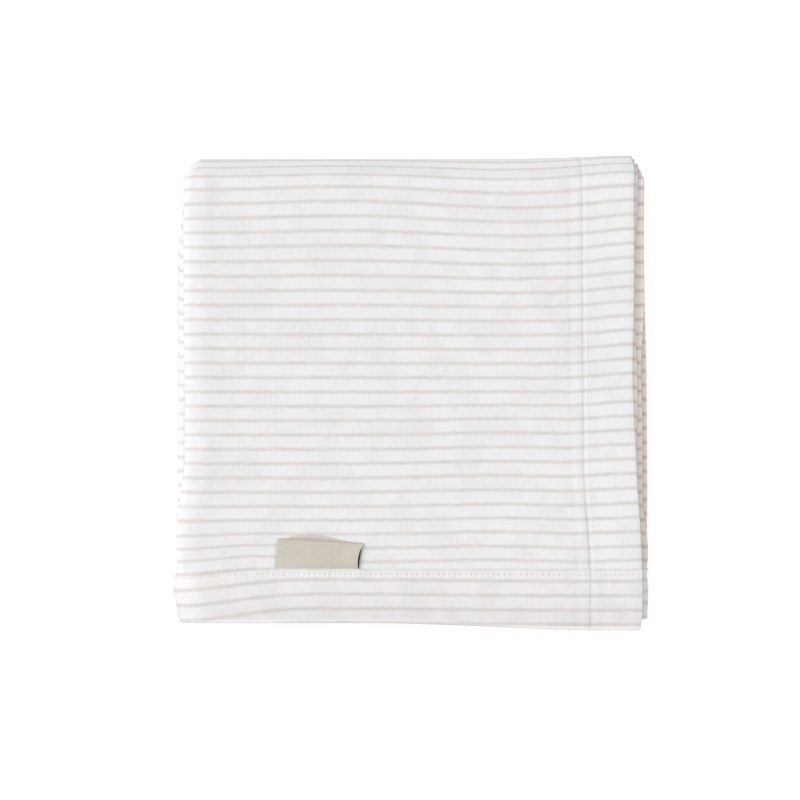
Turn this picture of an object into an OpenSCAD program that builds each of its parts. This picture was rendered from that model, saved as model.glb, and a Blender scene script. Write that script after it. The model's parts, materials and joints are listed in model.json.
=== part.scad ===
// Striped baby wrap, folded flat: a square knitted sheet with turned hems, folded in four across
// and in four along, with a small tape label under its near hem.
// The sheet lies in four leaves, each of four plies. +Z is up, +Y points to the last fold.

/* [Packet] */
// Width of the folded packet, across the side folds
folded_w = 255; // [200:1:320]
// Depth of the folded packet, from its open edge to its last fold
folded_d = 254; // [200:1:320]
// How far each lower edge shows past the edge above it
edge_step = 3; // [2:0.5:5]

/* [Cloth] */
// Thickness of one ply of the cloth
cloth_t = 0.75; // [0.6:0.05:1]
// Air between two plies of one leaf
ply_gap = 0.1; // [0.05:0.05:0.2]
// Air between two leaves
leaf_gap = 0.3; // [0.3:0.05:0.6]

/* [Hems] */
// Width of the turned hem, the same on all four sides of the sheet
hem_w = 30; // [20:1:40]
// Distance from a hem's inner edge to its row of thread
row_in = 2.6; // [1.5:0.1:5]
// Width of the row of thread
thread_w = 0.5; // [0.3:0.05:0.8]
// Depth to which the row is drawn into the hem
thread_d = 0.25; // [0.1:0.05:0.25]

/* [Label] */
// Length of the label along the hem
label_w = 46; // [30:1:60]
// Height of the label's loop
label_h = 16; // [10:1:25]
// Thickness of the label's tape
label_t = 0.15; // [0.1:0.05:0.15]
// Opening inside the label's loop
label_gap = 0.8; // [0.5:0.05:1]
// Distance from the packet's left side to the middle of the label
label_x = 76; // [60:1:150]
// Length of the tape's ends that the hem holds
label_tuck = 7; // [5:0.5:12]
// Air under and behind the label's loop
label_clear = 0.3; // [0.3:0.05:0.5]

/* [Hidden] */
$fn = 64;
cloth_colour = [0.93, 0.92, 0.91];
hem_colour = [0.90, 0.89, 0.88];
thread_colour = [0.98, 0.98, 0.98];
label_colour = [0.77, 0.75, 0.70];

// Layers of a leaf, measured from its middle towards its right-hem ply. A turned hem lies flush in the
// outermost ply, which steps in under it, and in the air between the two middle plies.
hem_pitch = 2 * cloth_t + ply_gap;
leaf_face = 2 * hem_pitch - ply_gap / 2;
ply_level = [
    leaf_face - cloth_t / 2,
    hem_pitch - ply_gap / 2 - cloth_t / 2,
    -hem_pitch + ply_gap / 2 + cloth_t / 2,
    -hem_pitch - ply_gap / 2 - cloth_t / 2
];
stepped_level = ply_level[0] - cloth_t;

// The leaves, from the bottom one to the top one. The far hem lies between the second and the third.
BOTTOM = 0;
SECOND = 1;
THIRD = 2;
TOP = 3;
leaf_pitch = 2 * leaf_face + leaf_gap;
leaf_z = [for (i = [BOTTOM:TOP]) leaf_face + i * leaf_pitch + (i > SECOND ? cloth_t : 0)];
right_hem_up = [false, true, false, true];

// Side edges and side folds
left_x = -folded_w / 2;
right_x = folded_w / 2;
wrap_r = (ply_level[0] - ply_level[3]) / 2;
wrap_level = (ply_level[0] + ply_level[3]) / 2;
wrap_x = left_x + wrap_r + cloth_t / 2;
tuck_r = ply_level[1];
tuck_x = wrap_x + ply_gap;
turn_r = (ply_level[2] - ply_level[3]) / 2;
turn_level = (ply_level[2] + ply_level[3]) / 2;
turn_x = right_x - turn_r - cloth_t / 2;
right_hem_x = right_x - 2 * edge_step;
left_hem_x = right_x - edge_step;

// Folds between leaves, and the open ends
near_y = -folded_d / 2;
far_y = near_y + edge_step;
lower_fold_r = leaf_pitch / 2;
lower_fold_y = near_y + 2 * edge_step + lower_fold_r + leaf_face;
lower_fold_z = (leaf_z[BOTTOM] + leaf_z[SECOND]) / 2;
last_fold_z = (leaf_z[SECOND] + leaf_z[THIRD]) / 2;
inner_fold_r = last_fold_z - leaf_z[SECOND];
outer_fold_r = last_fold_z - leaf_z[BOTTOM];
last_fold_y = folded_d / 2 - outer_fold_r - leaf_face;
near_hem_y = near_y + hem_w;
far_hem_y = far_y + hem_w;

// Where each leaf starts and its side hems start
leaf_start = [lower_fold_y, lower_fold_y, far_y + cloth_t, near_y + cloth_t];
left_hem_start = [lower_fold_y, lower_fold_y, far_hem_y + ply_gap, near_hem_y + ply_gap];

// Seats of the hems: the level where the turned part meets its ply, and the side it lies on
right_hem_seat = [leaf_face - cloth_t, 1];
left_hem_seat = [ply_level[1] - cloth_t / 2, -1];
end_hem_seat = [
    [leaf_face, 1],
    left_hem_seat,
    [ply_level[2] + cloth_t / 2, 1],
    [ply_level[3] - cloth_t / 2, -1]
];
end_hem_x = [
    [wrap_x, right_hem_x - cloth_t],
    [tuck_x, left_hem_x - cloth_t],
    [tuck_x, turn_x],
    [wrap_x, turn_x]
];

// Label
label_mid_x = left_x + label_x;
cloth_top_z = leaf_z[TOP] + leaf_face;
loop_t = 2 * label_t + label_gap;
loop_r = (label_gap + label_t) / 2;
loop_z = cloth_top_z + label_clear + loop_t / 2;
loop_y = near_hem_y + 2 * label_clear;

// One flat ply of a cross-section
module ply_section(from, to, level) {
    translate([from, level - cloth_t / 2])
        square([to - from, cloth_t]);
}

// A half ring of cloth that turns one ply into another, on the left (-1) or the right (1)
module bend_section(x, level, r, side) {
    reach = r + cloth_t;
    translate([x, level])
        intersection() {
            difference() {
                circle(r + cloth_t / 2);
                circle(r - cloth_t / 2);
            }
            translate([side < 0 ? -reach : 0, -reach])
                square([reach, 2 * reach]);
        }
}

// Cross-section of a leaf: the sheet's width, folded in four
module leaf_section() {
    step_x = right_hem_x - hem_w - ply_gap;
    ply_section(wrap_x, step_x, ply_level[0]);
    ply_section(step_x - cloth_t, right_hem_x - cloth_t, stepped_level);
    ply_section(tuck_x, left_hem_x - cloth_t, ply_level[1]);
    ply_section(tuck_x, turn_x, ply_level[2]);
    ply_section(wrap_x, turn_x, ply_level[3]);
    bend_section(wrap_x, wrap_level, wrap_r, -1);
    bend_section(tuck_x, 0, tuck_r, -1);
    bend_section(turn_x, turn_level, turn_r, 1);
}

// Puts a hem's cross-section at its edge, on the side of the ply that its seat names
module at_hem(edge, seat) {
    translate([edge - cloth_t, seat[0]])
        mirror([0, seat[1] < 0 ? 1 : 0])
            children();
}

// Where a hem's row of thread lies, from the start of the hem's round edge
module row_section() {
    translate([cloth_t - hem_w + row_in, cloth_t - thread_d])
        square([thread_w, thread_d]);
}

// Cross-section of a turned hem: the flat band and the round edge where the cloth turns
module hem_section(edge, seat) {
    at_hem(edge, seat)
        difference() {
            union() {
                translate([cloth_t - hem_w, 0])
                    square([hem_w - cloth_t, cloth_t]);
                intersection() {
                    circle(cloth_t);
                    translate([0, -cloth_t])
                        square([cloth_t, 2 * cloth_t]);
                }
            }
            row_section();
        }
}

module thread_section(edge, seat) {
    at_hem(edge, seat)
        row_section();
}

module side_thread_section() {
    thread_section(right_hem_x, right_hem_seat);
    thread_section(left_hem_x, left_hem_seat);
}

// Turns a cross-section over on the leaves that lie with their right-hem ply down
module facing(leaf) {
    mirror([0, right_hem_up[leaf] ? 0 : 1])
        children();
}

// Draws a cross-section along a leaf, from its start to the last fold
module along_leaf(leaf, start) {
    translate([0, last_fold_y, leaf_z[leaf]])
        rotate([90, 0, 0])
            linear_extrude(last_fold_y - start)
                facing(leaf)
                    children();
}

// Draws a cross-section across a leaf, with the cross-section's outward side towards -Y
module across_leaf(leaf, span) {
    translate([span[1], 0, leaf_z[leaf]])
        rotate([90, 0, -90])
            linear_extrude(span[1] - span[0])
                facing(leaf)
                    children();
}

// Turns a cross-section half round a fold, with its right-hem ply outside or inside
module around_fold(y, z, r, right_hem_outside) {
    translate([0, y, z])
        rotate([0, 90, 0])
            rotate_extrude(angle = 180)
                translate([r, 0])
                    if (right_hem_outside)
                        mirror([1, -1])
                            children();
                    else
                        rotate(90)
                            children();
}

module around_lower_fold() {
    translate([0, lower_fold_y, lower_fold_z])
        rotate([180, 0, 0])
            around_fold(0, 0, lower_fold_r, true)
                children();
}

module around_inner_fold() {
    around_fold(last_fold_y, last_fold_z, inner_fold_r, false)
        children();
}

module around_outer_fold() {
    around_fold(last_fold_y, last_fold_z, outer_fold_r, true)
        children();
}

module leaf(i) {
    color(cloth_colour)
        along_leaf(i, leaf_start[i])
            leaf_section();
}

module right_hem(i) {
    color(hem_colour)
        along_leaf(i, leaf_start[i])
            hem_section(right_hem_x, right_hem_seat);
}

module left_hem(i) {
    color(hem_colour)
        along_leaf(i, left_hem_start[i])
            hem_section(left_hem_x, left_hem_seat);
}

module side_thread(i) {
    color(thread_colour) {
        along_leaf(i, leaf_start[i])
            thread_section(right_hem_x, right_hem_seat);
        along_leaf(i, left_hem_start[i])
            thread_section(left_hem_x, left_hem_seat);
    }
}

// A hem across the end of a leaf, on one of its plies, counted from the right-hem ply
module end_hem(leaf, ply, end_y) {
    color(hem_colour)
        across_leaf(leaf, end_hem_x[ply])
            hem_section(-end_y, end_hem_seat[ply]);
}

module end_thread(leaf, end_y) {
    color(thread_colour)
        for (ply = [0:3])
            across_leaf(leaf, end_hem_x[ply])
                thread_section(-end_y, end_hem_seat[ply]);
}

module bottom_leaf() { leaf(BOTTOM); }
module second_leaf() { leaf(SECOND); }
module third_leaf() { leaf(THIRD); }
module top_leaf() { leaf(TOP); }
module lower_fold() { color(cloth_colour) around_lower_fold() leaf_section(); }
module inner_fold() { color(cloth_colour) around_inner_fold() leaf_section(); }
module outer_fold() { color(cloth_colour) around_outer_fold() leaf_section(); }

module right_hem_bottom_leaf() { right_hem(BOTTOM); }
module right_hem_second_leaf() { right_hem(SECOND); }
module right_hem_third_leaf() { right_hem(THIRD); }
module right_hem_top_leaf() { right_hem(TOP); }
module right_hem_lower_fold() { color(hem_colour) around_lower_fold() hem_section(right_hem_x, right_hem_seat); }
module right_hem_inner_fold() { color(hem_colour) around_inner_fold() hem_section(right_hem_x, right_hem_seat); }
module right_hem_outer_fold() { color(hem_colour) around_outer_fold() hem_section(right_hem_x, right_hem_seat); }

module left_hem_bottom_leaf() { left_hem(BOTTOM); }
module left_hem_second_leaf() { left_hem(SECOND); }
module left_hem_third_leaf() { left_hem(THIRD); }
module left_hem_top_leaf() { left_hem(TOP); }
module left_hem_lower_fold() { color(hem_colour) around_lower_fold() hem_section(left_hem_x, left_hem_seat); }
module left_hem_inner_fold() { color(hem_colour) around_inner_fold() hem_section(left_hem_x, left_hem_seat); }
module left_hem_outer_fold() { color(hem_colour) around_outer_fold() hem_section(left_hem_x, left_hem_seat); }

// The near hem on the top ply has a pocket under it for the label's ends
module near_hem_top_ply() {
    color(hem_colour)
        difference() {
            end_hem(TOP, 0, near_y);
            translate([label_mid_x - label_w / 2, near_hem_y - label_tuck, cloth_top_z])
                cube([label_w, label_tuck, 2 * label_t]);
        }
}
module near_hem_second_ply() { end_hem(TOP, 1, near_y); }
module near_hem_third_ply() { end_hem(TOP, 2, near_y); }
module near_hem_bottom_ply() { end_hem(TOP, 3, near_y); }

// The far leaf lies upside down, so its right-hem ply is the lowest
module far_hem_bottom_ply() { end_hem(THIRD, 0, far_y); }
module far_hem_second_ply() { end_hem(THIRD, 1, far_y); }
module far_hem_third_ply() { end_hem(THIRD, 2, far_y); }
module far_hem_top_ply() { end_hem(THIRD, 3, far_y); }

module side_thread_bottom_leaf() { side_thread(BOTTOM); }
module side_thread_second_leaf() { side_thread(SECOND); }
module side_thread_third_leaf() { side_thread(THIRD); }
module side_thread_top_leaf() { side_thread(TOP); }
module side_thread_lower_fold() { color(thread_colour) around_lower_fold() side_thread_section(); }
module side_thread_inner_fold() { color(thread_colour) around_inner_fold() side_thread_section(); }
module side_thread_outer_fold() { color(thread_colour) around_outer_fold() side_thread_section(); }
module near_thread() { end_thread(TOP, near_y); }
module far_thread() { end_thread(THIRD, far_y); }

// The two ends of the label's tape, pressed together under the near hem
module label_ends() {
    color(label_colour)
        translate([label_mid_x - label_w / 2, near_hem_y - label_tuck, cloth_top_z])
            cube([label_w, label_tuck, 2 * label_t]);
}

// The loop of tape that stands out from under the hem, closed at its outer end
module label_loop() {
    straight = label_h - loop_t / 2 - loop_y + near_hem_y;
    color(label_colour)
        translate([label_mid_x + label_w / 2, loop_y + straight, loop_z])
            rotate([90, 0, -90])
                linear_extrude(label_w) {
                    for (side = [-1, 1])
                        translate([0, side * loop_r - label_t / 2])
                            square([straight, label_t]);
                    intersection() {
                        difference() {
                            circle(loop_t / 2);
                            circle(label_gap / 2);
                        }
                        translate([-loop_t, -loop_t])
                            square([loop_t, 2 * loop_t]);
                    }
                }
}

bottom_leaf();
second_leaf();
third_leaf();
top_leaf();
lower_fold();
inner_fold();
outer_fold();
right_hem_bottom_leaf();
right_hem_second_leaf();
right_hem_third_leaf();
right_hem_top_leaf();
right_hem_lower_fold();
right_hem_inner_fold();
right_hem_outer_fold();
left_hem_bottom_leaf();
left_hem_second_leaf();
left_hem_third_leaf();
left_hem_top_leaf();
left_hem_lower_fold();
left_hem_inner_fold();
left_hem_outer_fold();
near_hem_top_ply();
near_hem_second_ply();
near_hem_third_ply();
near_hem_bottom_ply();
far_hem_bottom_ply();
far_hem_second_ply();
far_hem_third_ply();
far_hem_top_ply();
side_thread_bottom_leaf();
side_thread_second_leaf();
side_thread_third_leaf();
side_thread_top_leaf();
side_thread_lower_fold();
side_thread_inner_fold();
side_thread_outer_fold();
near_thread();
far_thread();
label_ends();
label_loop();
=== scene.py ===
# %% [markdown]
# # A folded knit swaddling wrap
# The object is one large rectangle of white knit with thin grey-beige stripes.
# It is hemmed on all four sides, folded in four across its width, and then in
# four again along its length, so sixteen layers lie in a square packet. A short
# loop of woven tape is caught in the near hem. The CAD frame gives every size,
# and this lesson lays real cloth in the place of each of its solids.

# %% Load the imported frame
import json
import math
import bpy
import numpy as np
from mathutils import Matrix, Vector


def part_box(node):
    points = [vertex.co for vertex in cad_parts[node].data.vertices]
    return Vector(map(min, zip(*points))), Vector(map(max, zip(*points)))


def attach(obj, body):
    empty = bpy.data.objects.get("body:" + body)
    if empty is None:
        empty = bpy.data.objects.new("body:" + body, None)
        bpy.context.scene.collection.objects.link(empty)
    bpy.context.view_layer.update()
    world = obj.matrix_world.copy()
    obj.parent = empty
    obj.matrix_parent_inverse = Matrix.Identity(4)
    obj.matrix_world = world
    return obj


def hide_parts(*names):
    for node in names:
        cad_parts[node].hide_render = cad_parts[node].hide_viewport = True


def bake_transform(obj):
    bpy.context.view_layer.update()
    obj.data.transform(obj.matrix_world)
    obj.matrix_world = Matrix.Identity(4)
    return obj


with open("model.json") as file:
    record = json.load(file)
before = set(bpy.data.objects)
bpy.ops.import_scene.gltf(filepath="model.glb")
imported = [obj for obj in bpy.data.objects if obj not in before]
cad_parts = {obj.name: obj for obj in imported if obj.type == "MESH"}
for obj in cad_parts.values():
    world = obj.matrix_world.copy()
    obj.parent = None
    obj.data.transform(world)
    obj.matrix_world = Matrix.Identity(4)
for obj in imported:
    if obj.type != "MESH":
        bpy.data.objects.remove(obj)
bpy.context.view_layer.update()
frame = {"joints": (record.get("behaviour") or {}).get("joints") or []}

MM = 0.001

# %% [markdown]
# ## The sizes of the packet
# A maker would lay a rule on the packet. Here the rule is the frame: the boxes
# of a few CAD nodes give the thickness of the knit, the places of the hems and
# the axes of the folds. Nothing is typed twice, so the cloth stays on its frame.

# %% Read the hems and folds from the frame
hinges = {joint["name"]: joint for joint in frame["joints"]}
fold_y, fold_z = hinges["last_fold_open"]["pos_m"][1:]
near_low, near_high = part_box("near_hem_top_ply")
side_low, side_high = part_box("right_hem_top_leaf")
tuck_low, tuck_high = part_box("left_hem_top_leaf")
far_low, far_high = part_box("far_hem_bottom_ply")
top_low, top_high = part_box("top_leaf")
third_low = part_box("third_leaf")[0]
turn_low, turn_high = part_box("lower_fold")
ply = (near_high.z - near_low.z) / 2
hem_gap = side_low.z - tuck_high.z
leaf_face = 2 * (2 * ply + hem_gap) - hem_gap / 2
left_x, right_x = top_low.x, top_high.x
near_end, near_hem_in = near_low.y, near_high.y
far_end, far_hem_in = far_low.y, far_high.y
lower_y, lower_z = turn_high.y, (turn_low.z + turn_high.z) / 2
leaf_top = top_high.z
outer_radius = leaf_top - leaf_face - fold_z
inner_radius = third_low.z + leaf_face - fold_z
lower_radius = lower_z - turn_low.z - leaf_face
print("knit thickness, mm:", round(ply / MM, 3))
print("fold radii, mm:", [round(r / MM, 3) for r in (outer_radius, inner_radius, lower_radius)])

# %% [markdown]
# ## The cut across the packet
# Cut the packet from left to right and one leaf shows four plies: the visible
# ply with the right hem, the bend round the left edge, the two plies below, and
# the ply with the left hem tucked inside. The cut is drawn as one line of points
# from hem to hem, made of straight runs and small turns. A drawn line was chosen
# over a modifier, because its length along the cloth is then known, and the
# stripes and ribs can be laid out on the flat cloth.

# %% Draw straight runs and turns
def straight(start, end, step):
    """Points from start to end, about a step apart."""
    count = max(2, int(math.ceil(math.dist(start, end) / step)) + 1)
    return np.linspace(start, end, count)


def turn(centre, radius, first, last, count):
    """Points on a round turn of the cloth, between two angles in degrees."""
    angles = np.radians(np.linspace(first, last, count))
    ring = np.column_stack((np.cos(angles), np.sin(angles)))
    return np.array(centre) + radius * ring


def rise(start, end, count):
    """Points on a soft step from one level to another."""
    share = np.linspace(0, 1, count)
    lift = share * share * (3 - 2 * share)
    width = start[0] + (end[0] - start[0]) * share
    return np.column_stack((width, start[1] + (end[1] - start[1]) * lift))


def joined(*runs):
    """One line of points from several runs, without doubled points."""
    points = np.vstack(runs)
    gaps = np.linalg.norm(np.diff(points, axis=0), axis=1)
    return points[np.concatenate(([True], gaps > 1e-7))]


def travelled(points):
    """The length of cloth from the first point to each point."""
    gaps = np.linalg.norm(np.diff(points, axis=0), axis=1)
    return np.concatenate(([0.0], np.cumsum(gaps)))


# %% Set the levels of the four plies
ply_one = leaf_face - ply / 2
ply_two = ply_one - 2 * ply - hem_gap
ply_three = -ply_two
ply_four = top_low.z - (leaf_top - leaf_face) + ply / 2
wrap_low = -leaf_face + ply
wrap_radius = (ply_one - wrap_low) / 2
wrap_x = left_x + ply / 2 + wrap_radius
wrap_level = (ply_one + wrap_low) / 2
back_radius = (ply_three - ply_four) / 2
back_x = right_x - ply / 2 - back_radius
tuck_x = left_x + 1.7 * ply + ply_two
hem_run = near_hem_in - near_end
print("ply levels, mm:", [round(w / MM, 3) for w in (ply_one, ply_two, ply_three, ply_four)])

# %% Draw the visible ply with its hem and its left bend
bend_points = 17
seam_out = 0.45 * MM


def seam_valley(x):
    """The soft dip of the cloth, in metres, at the seam of the right hem and on its two sides."""
    at_seam = np.exp(-((x - side_low.x) / (1.3 * MM)) ** 2)
    left_of_it = np.exp(-((x - side_low.x + 6.5 * MM) / (2.0 * MM)) ** 2)
    right_of_it = np.exp(-((x - side_low.x - 7.5 * MM) / (2.4 * MM)) ** 2)
    return 0.2 * MM * at_seam + 0.2 * MM * left_of_it + 0.12 * MM * right_of_it


def visible_ply(step):
    """The line from the edge of the right hem to the bottom of the left bend."""
    edge_x = side_high.x - ply
    under = ply_one - ply
    foot = (side_low.x + 0.5 * MM, under)
    crest = (side_low.x - seam_out, ply_one)
    close = side_low.x + 4 * MM
    apart = side_low.x - 10 * MM
    line = joined(
        straight((side_low.x, ply_one), (close, ply_one), step / 3),
        straight((close, ply_one), (edge_x, ply_one), step),
        turn((edge_x, ply_one - ply / 2), ply / 2, 90, -90, 7),
        straight((edge_x, under), foot, 2 * step),
        rise(foot, crest, 6),
        straight(crest, (apart, ply_one), step / 3),
        straight((apart, ply_one), (wrap_x, ply_one), step),
        turn((wrap_x, wrap_level), wrap_radius, 90, 270, bend_points),
    )
    line[:, 1] -= seam_valley(line[:, 0])
    return line


# %% Draw the three plies below it
def plies_below(step):
    """The line from the bottom of the left bend to the edge of the left hem."""
    settled_x = wrap_x + 60 * MM
    edge_x = tuck_high.x - ply
    return joined(
        straight((wrap_x, wrap_low), (settled_x, ply_four), step),
        straight((settled_x, ply_four), (back_x, ply_four), step),
        turn((back_x, (ply_three + ply_four) / 2), back_radius, -90, 90, 9),
        straight((back_x, ply_three), (tuck_x, ply_three), step),
        turn((tuck_x, 0), ply_two, 270, 90, 11),
        straight((tuck_x, ply_two), (edge_x, ply_two), step),
        turn((edge_x, ply_two - ply / 2), ply / 2, 90, -90, 7),
        straight((edge_x, ply_two - ply), (tuck_low.x, ply_two - ply), step),
    )


fine_step, plain_step = 2.0 * MM, 5.0 * MM
whole_cut = joined(visible_ply(plain_step), plies_below(plain_step))
print("cloth across the cut, mm:", round(travelled(whole_cut)[-1] / MM, 1))

# %% [markdown]
# ## The folds along the packet
# Along its length the cloth runs flat, goes round a fold, and runs back. The far
# roll of a real packet is not a half circle: the upper plies slump forward, so
# its furthest point lies low. The fold is drawn once, for a radius of one, and
# every ply takes it at its own radius, which keeps the plies apart all round.

# %% Draw the slumped fold for a radius of one
def slumped_fold(count, reach, low, upper_power):
    """Points (forward, up) of a fold from the top round to the bottom, with its arc lengths."""
    quarter = np.radians(np.linspace(0, 90, 400))
    power = 2 / upper_power
    upper = np.column_stack((
        reach * np.sin(quarter) ** power,
        low + (1 - low) * np.cos(quarter) ** power,
    ))
    lower = np.column_stack((
        reach * np.cos(quarter),
        low - (1 + low) * np.sin(quarter),
    ))
    line = joined(upper, lower)
    length = travelled(line)
    even = np.linspace(0, length[-1], count)
    forward = np.interp(even, length, line[:, 0])
    up = np.interp(even, length, line[:, 1])
    return forward, up, even


# %% Put runs and folds one after another into a strip
def flat_run(start_y, end_y, step, facing):
    """Stations of a flat run; facing is 1 above the fold's axis and -1 below it."""
    y = straight((start_y, 0), (end_y, 0), step)[:, 0]
    none = np.zeros(len(y))
    return [y, none, none + facing, np.abs(y - start_y), none]


def fold_run(axis_y, toward, forward, up, arc):
    """Stations round a fold whose axis is at axis_y; toward is its side in Y."""
    none = np.zeros(len(up))
    return [none + axis_y, toward * forward, up, none, arc]


def strip(level, radius, side, *runs):
    """One strip of stations: centres, directions, flat lengths and fold arcs."""
    y, forward, up, flat, arc = [np.array([])] * 5
    for k, part in enumerate(runs):
        first = 0 if k == 0 else 1
        so_far = (flat[-1], arc[-1]) if k else (0, 0)
        y = np.concatenate((y, part[0][first:]))
        forward = np.concatenate((forward, part[1][first:]))
        up = np.concatenate((up, part[2][first:]))
        flat = np.concatenate((flat, so_far[0] + part[3][first:]))
        arc = np.concatenate((arc, so_far[1] + part[4][first:]))
    return {"level": level, "radius": radius, "side": side, "y": y,
            "forward": forward, "up": up, "flat": flat, "arc": arc}


def lay(cut, strip_of):
    """Points of the cloth over a cut and a strip, with lengths across and along the cloth."""
    across = travelled(cut)[:, None] + 0 * strip_of["y"]
    reach = strip_of["radius"] + strip_of["side"] * cut[:, 1][:, None]
    x = cut[:, 0][:, None] + 0 * strip_of["y"]
    y = strip_of["y"] + strip_of["forward"] * reach
    z = strip_of["level"] + strip_of["up"] * reach
    along = strip_of["flat"] + strip_of["arc"] * reach
    return np.stack((x, y, z), axis=-1), across, along


roll_reach, roll_low, roll_power = 1.18, -0.56, 1.4
far_roll = slumped_fold(40, roll_reach, roll_low, roll_power)
print("arc of the far roll for a radius of one:", round(far_roll[2][-1], 3))

# %% [markdown]
# ## How the packet has settled
# Nobody folds knit perfectly square. The sides of the real packet lean by a few
# millimetres, the left and near edges droop, one corner is pulled in, and the
# surface rolls softly. A cloth simulation of sixteen layers would drift away from
# the frame, so the same small moves are written as one function of place, and
# every piece goes through it. Pieces that touch stay in touch.

# %% Write small helpers for soft ramps
def ease(value, start, end):
    """A soft ramp from 0 at start to 1 at end."""
    share = np.clip((value - start) / (end - start), 0, 1)
    return share * share * (3 - 2 * share)


def swell(value, middle, reach):
    """A soft hump of height 1."""
    return np.exp(-((value - middle) / reach) ** 2)


# %% Tell the plies apart by their height
# Each pair is a soft step: the plies of the named part lie above it.
top_leaf_from = (20.2 * MM, 20.8 * MM)
left_hem_from = (23.2 * MM, 23.6 * MM)
right_hem_from = (25.2 * MM, 25.4 * MM)


def upper_plies(level):
    """1 for the upper plies of the top leaf, and 0 for all that lies below them."""
    return ease(level, leaf_top - 4.2 * MM, leaf_top - 1.5 * MM)


# %% Slide the near edge, the near hem and the far roll
def off_hinge(y, z):
    """0 at the hinge line of the last fold, where nothing may move, and 1 away from it."""
    return ease(np.hypot(y - fold_y, z - fold_z), 5 * MM, 10 * MM)


def hem_slides(x):
    """The moves in Y, in metres, of the near hem's inner edge and of the near edge."""
    inner_edge = (1.9 - 3.2 * ease(x, -85 * MM, -130 * MM)) * MM
    near_edge = (2.5 - 4.0 * ease(x, -25 * MM, 105 * MM)) * MM
    return inner_edge, near_edge


def slide_ends(x, y, z):
    """The move in Y, in metres, at the near and far ends of the packet. The plies of the top
    leaf slide as one, and the leaves below it follow less and less."""
    high = np.clip(z / (leaf_top - 7 * MM), 0, 1)
    inner_edge, near_edge = hem_slides(x)
    through_hem = np.clip((near_hem_in - y) / hem_run, 0, 1)
    slide = inner_edge + (near_edge - inner_edge) * through_hem
    move = slide * high * ease(y, near_hem_in + 40 * MM, near_hem_in)
    under_hem = ease(z, right_hem_from[1], right_hem_from[0])
    move += 6.0 * MM * under_hem * ease(x, 108 * MM, 127 * MM) * ease(y, -98 * MM, -124 * MM)
    far_bulge = 2.0 * MM * swell(x, 122 * MM, 42 * MM) * ease(y, 95 * MM, 122 * MM)
    return move + far_bulge * off_hinge(y, z)


# %% Lean the left side
def lean_left(x, y, z):
    """The move in X, in metres, of the left edge and the far left corner."""
    high = np.clip(z / leaf_top, 0, 1)
    left_side = ease(x, -70 * MM, left_x)
    pushed_out = ease(y, -35 * MM, -78 * MM) * (1 - 0.55 * ease(y, -106 * MM, -127 * MM))
    bulges = 1.2 * swell(y, -92 * MM, 6 * MM) - 0.9 * swell(y, -105 * MM, 7 * MM)
    move = (2.6 - 5.0 * pushed_out + bulges) * MM * left_side * high
    middle_leaves = ease(z, 5 * MM, 8 * MM) * ease(z, 21 * MM, 19 * MM)
    peek = ease(y, -75 * MM, -35 * MM) * ease(y, 105 * MM, 70 * MM)
    move -= 2.4 * MM * left_side * middle_leaves * peek
    move += 9.5 * MM * ease(y, 116 * MM, 136 * MM) * ease(x, -85 * MM, left_x)
    return move + 2.0 * MM * left_side * middle_leaves * ease(y, 98 * MM, 112 * MM)


# %% Lean the right side
def lean_right(x, y, z, level):
    """The move in X, in metres, of the right edge and its corners. level is the height of the
    same ply on the top leaf, so a ply leans alike round the roll."""
    upper = upper_plies(level)
    down_side = np.clip((127 * MM - y) / (254 * MM), 0, 1)
    pulled = ease(y, -35 * MM, -97 * MM)
    move = (1.6 * down_side + 3.0 * pulled) * MM * upper * ease(x, 0, 88 * MM)
    move -= 0.8 * MM * pulled * upper * ease(x, 98 * MM, 122 * MM)
    right_hem = ease(level, *right_hem_from)
    left_hem = ease(level, *left_hem_from) * (1 - right_hem)
    back_fold = (1 - right_hem) * (1 - left_hem)
    right_side = ease(x, 96 * MM, 122 * MM)
    slack = swell(y, 5 * MM, 38 * MM)
    tucked = 5.2 - 2.6 * ease(y, 55 * MM, 112 * MM) - 1.5 * slack
    move -= ((1.3 + 1.6 * slack) * right_hem + tucked * left_hem) * MM * right_side
    behind = 2.4 * ease(y, -60 * MM, 90 * MM) + 1.2 * ease(y, -92 * MM, -101 * MM) - 0.2
    top_leaf_only = ease(z, *top_leaf_from)
    staggered = ease(y, 54 * MM, 10 * MM) * ease(y, -85 * MM, -55 * MM)
    behind = behind + (3.4 * top_leaf_only - 0.4) * staggered
    move -= behind * MM * right_side * back_fold
    top_corner = ease(y, 126 * MM, 135 * MM) * ease(x, 112 * MM, 122 * MM)
    low_corner = ease(y, 113 * MM, 131 * MM) * ease(x, 108 * MM, right_x)
    near_corner = ease(y, -118 * MM, -128 * MM) * ease(x, 112 * MM, 124 * MM)
    corners = 1.0 * upper * top_corner + 2.6 * (1 - upper) * low_corner + 1.2 * upper * near_corner
    return move - corners * MM


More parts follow.
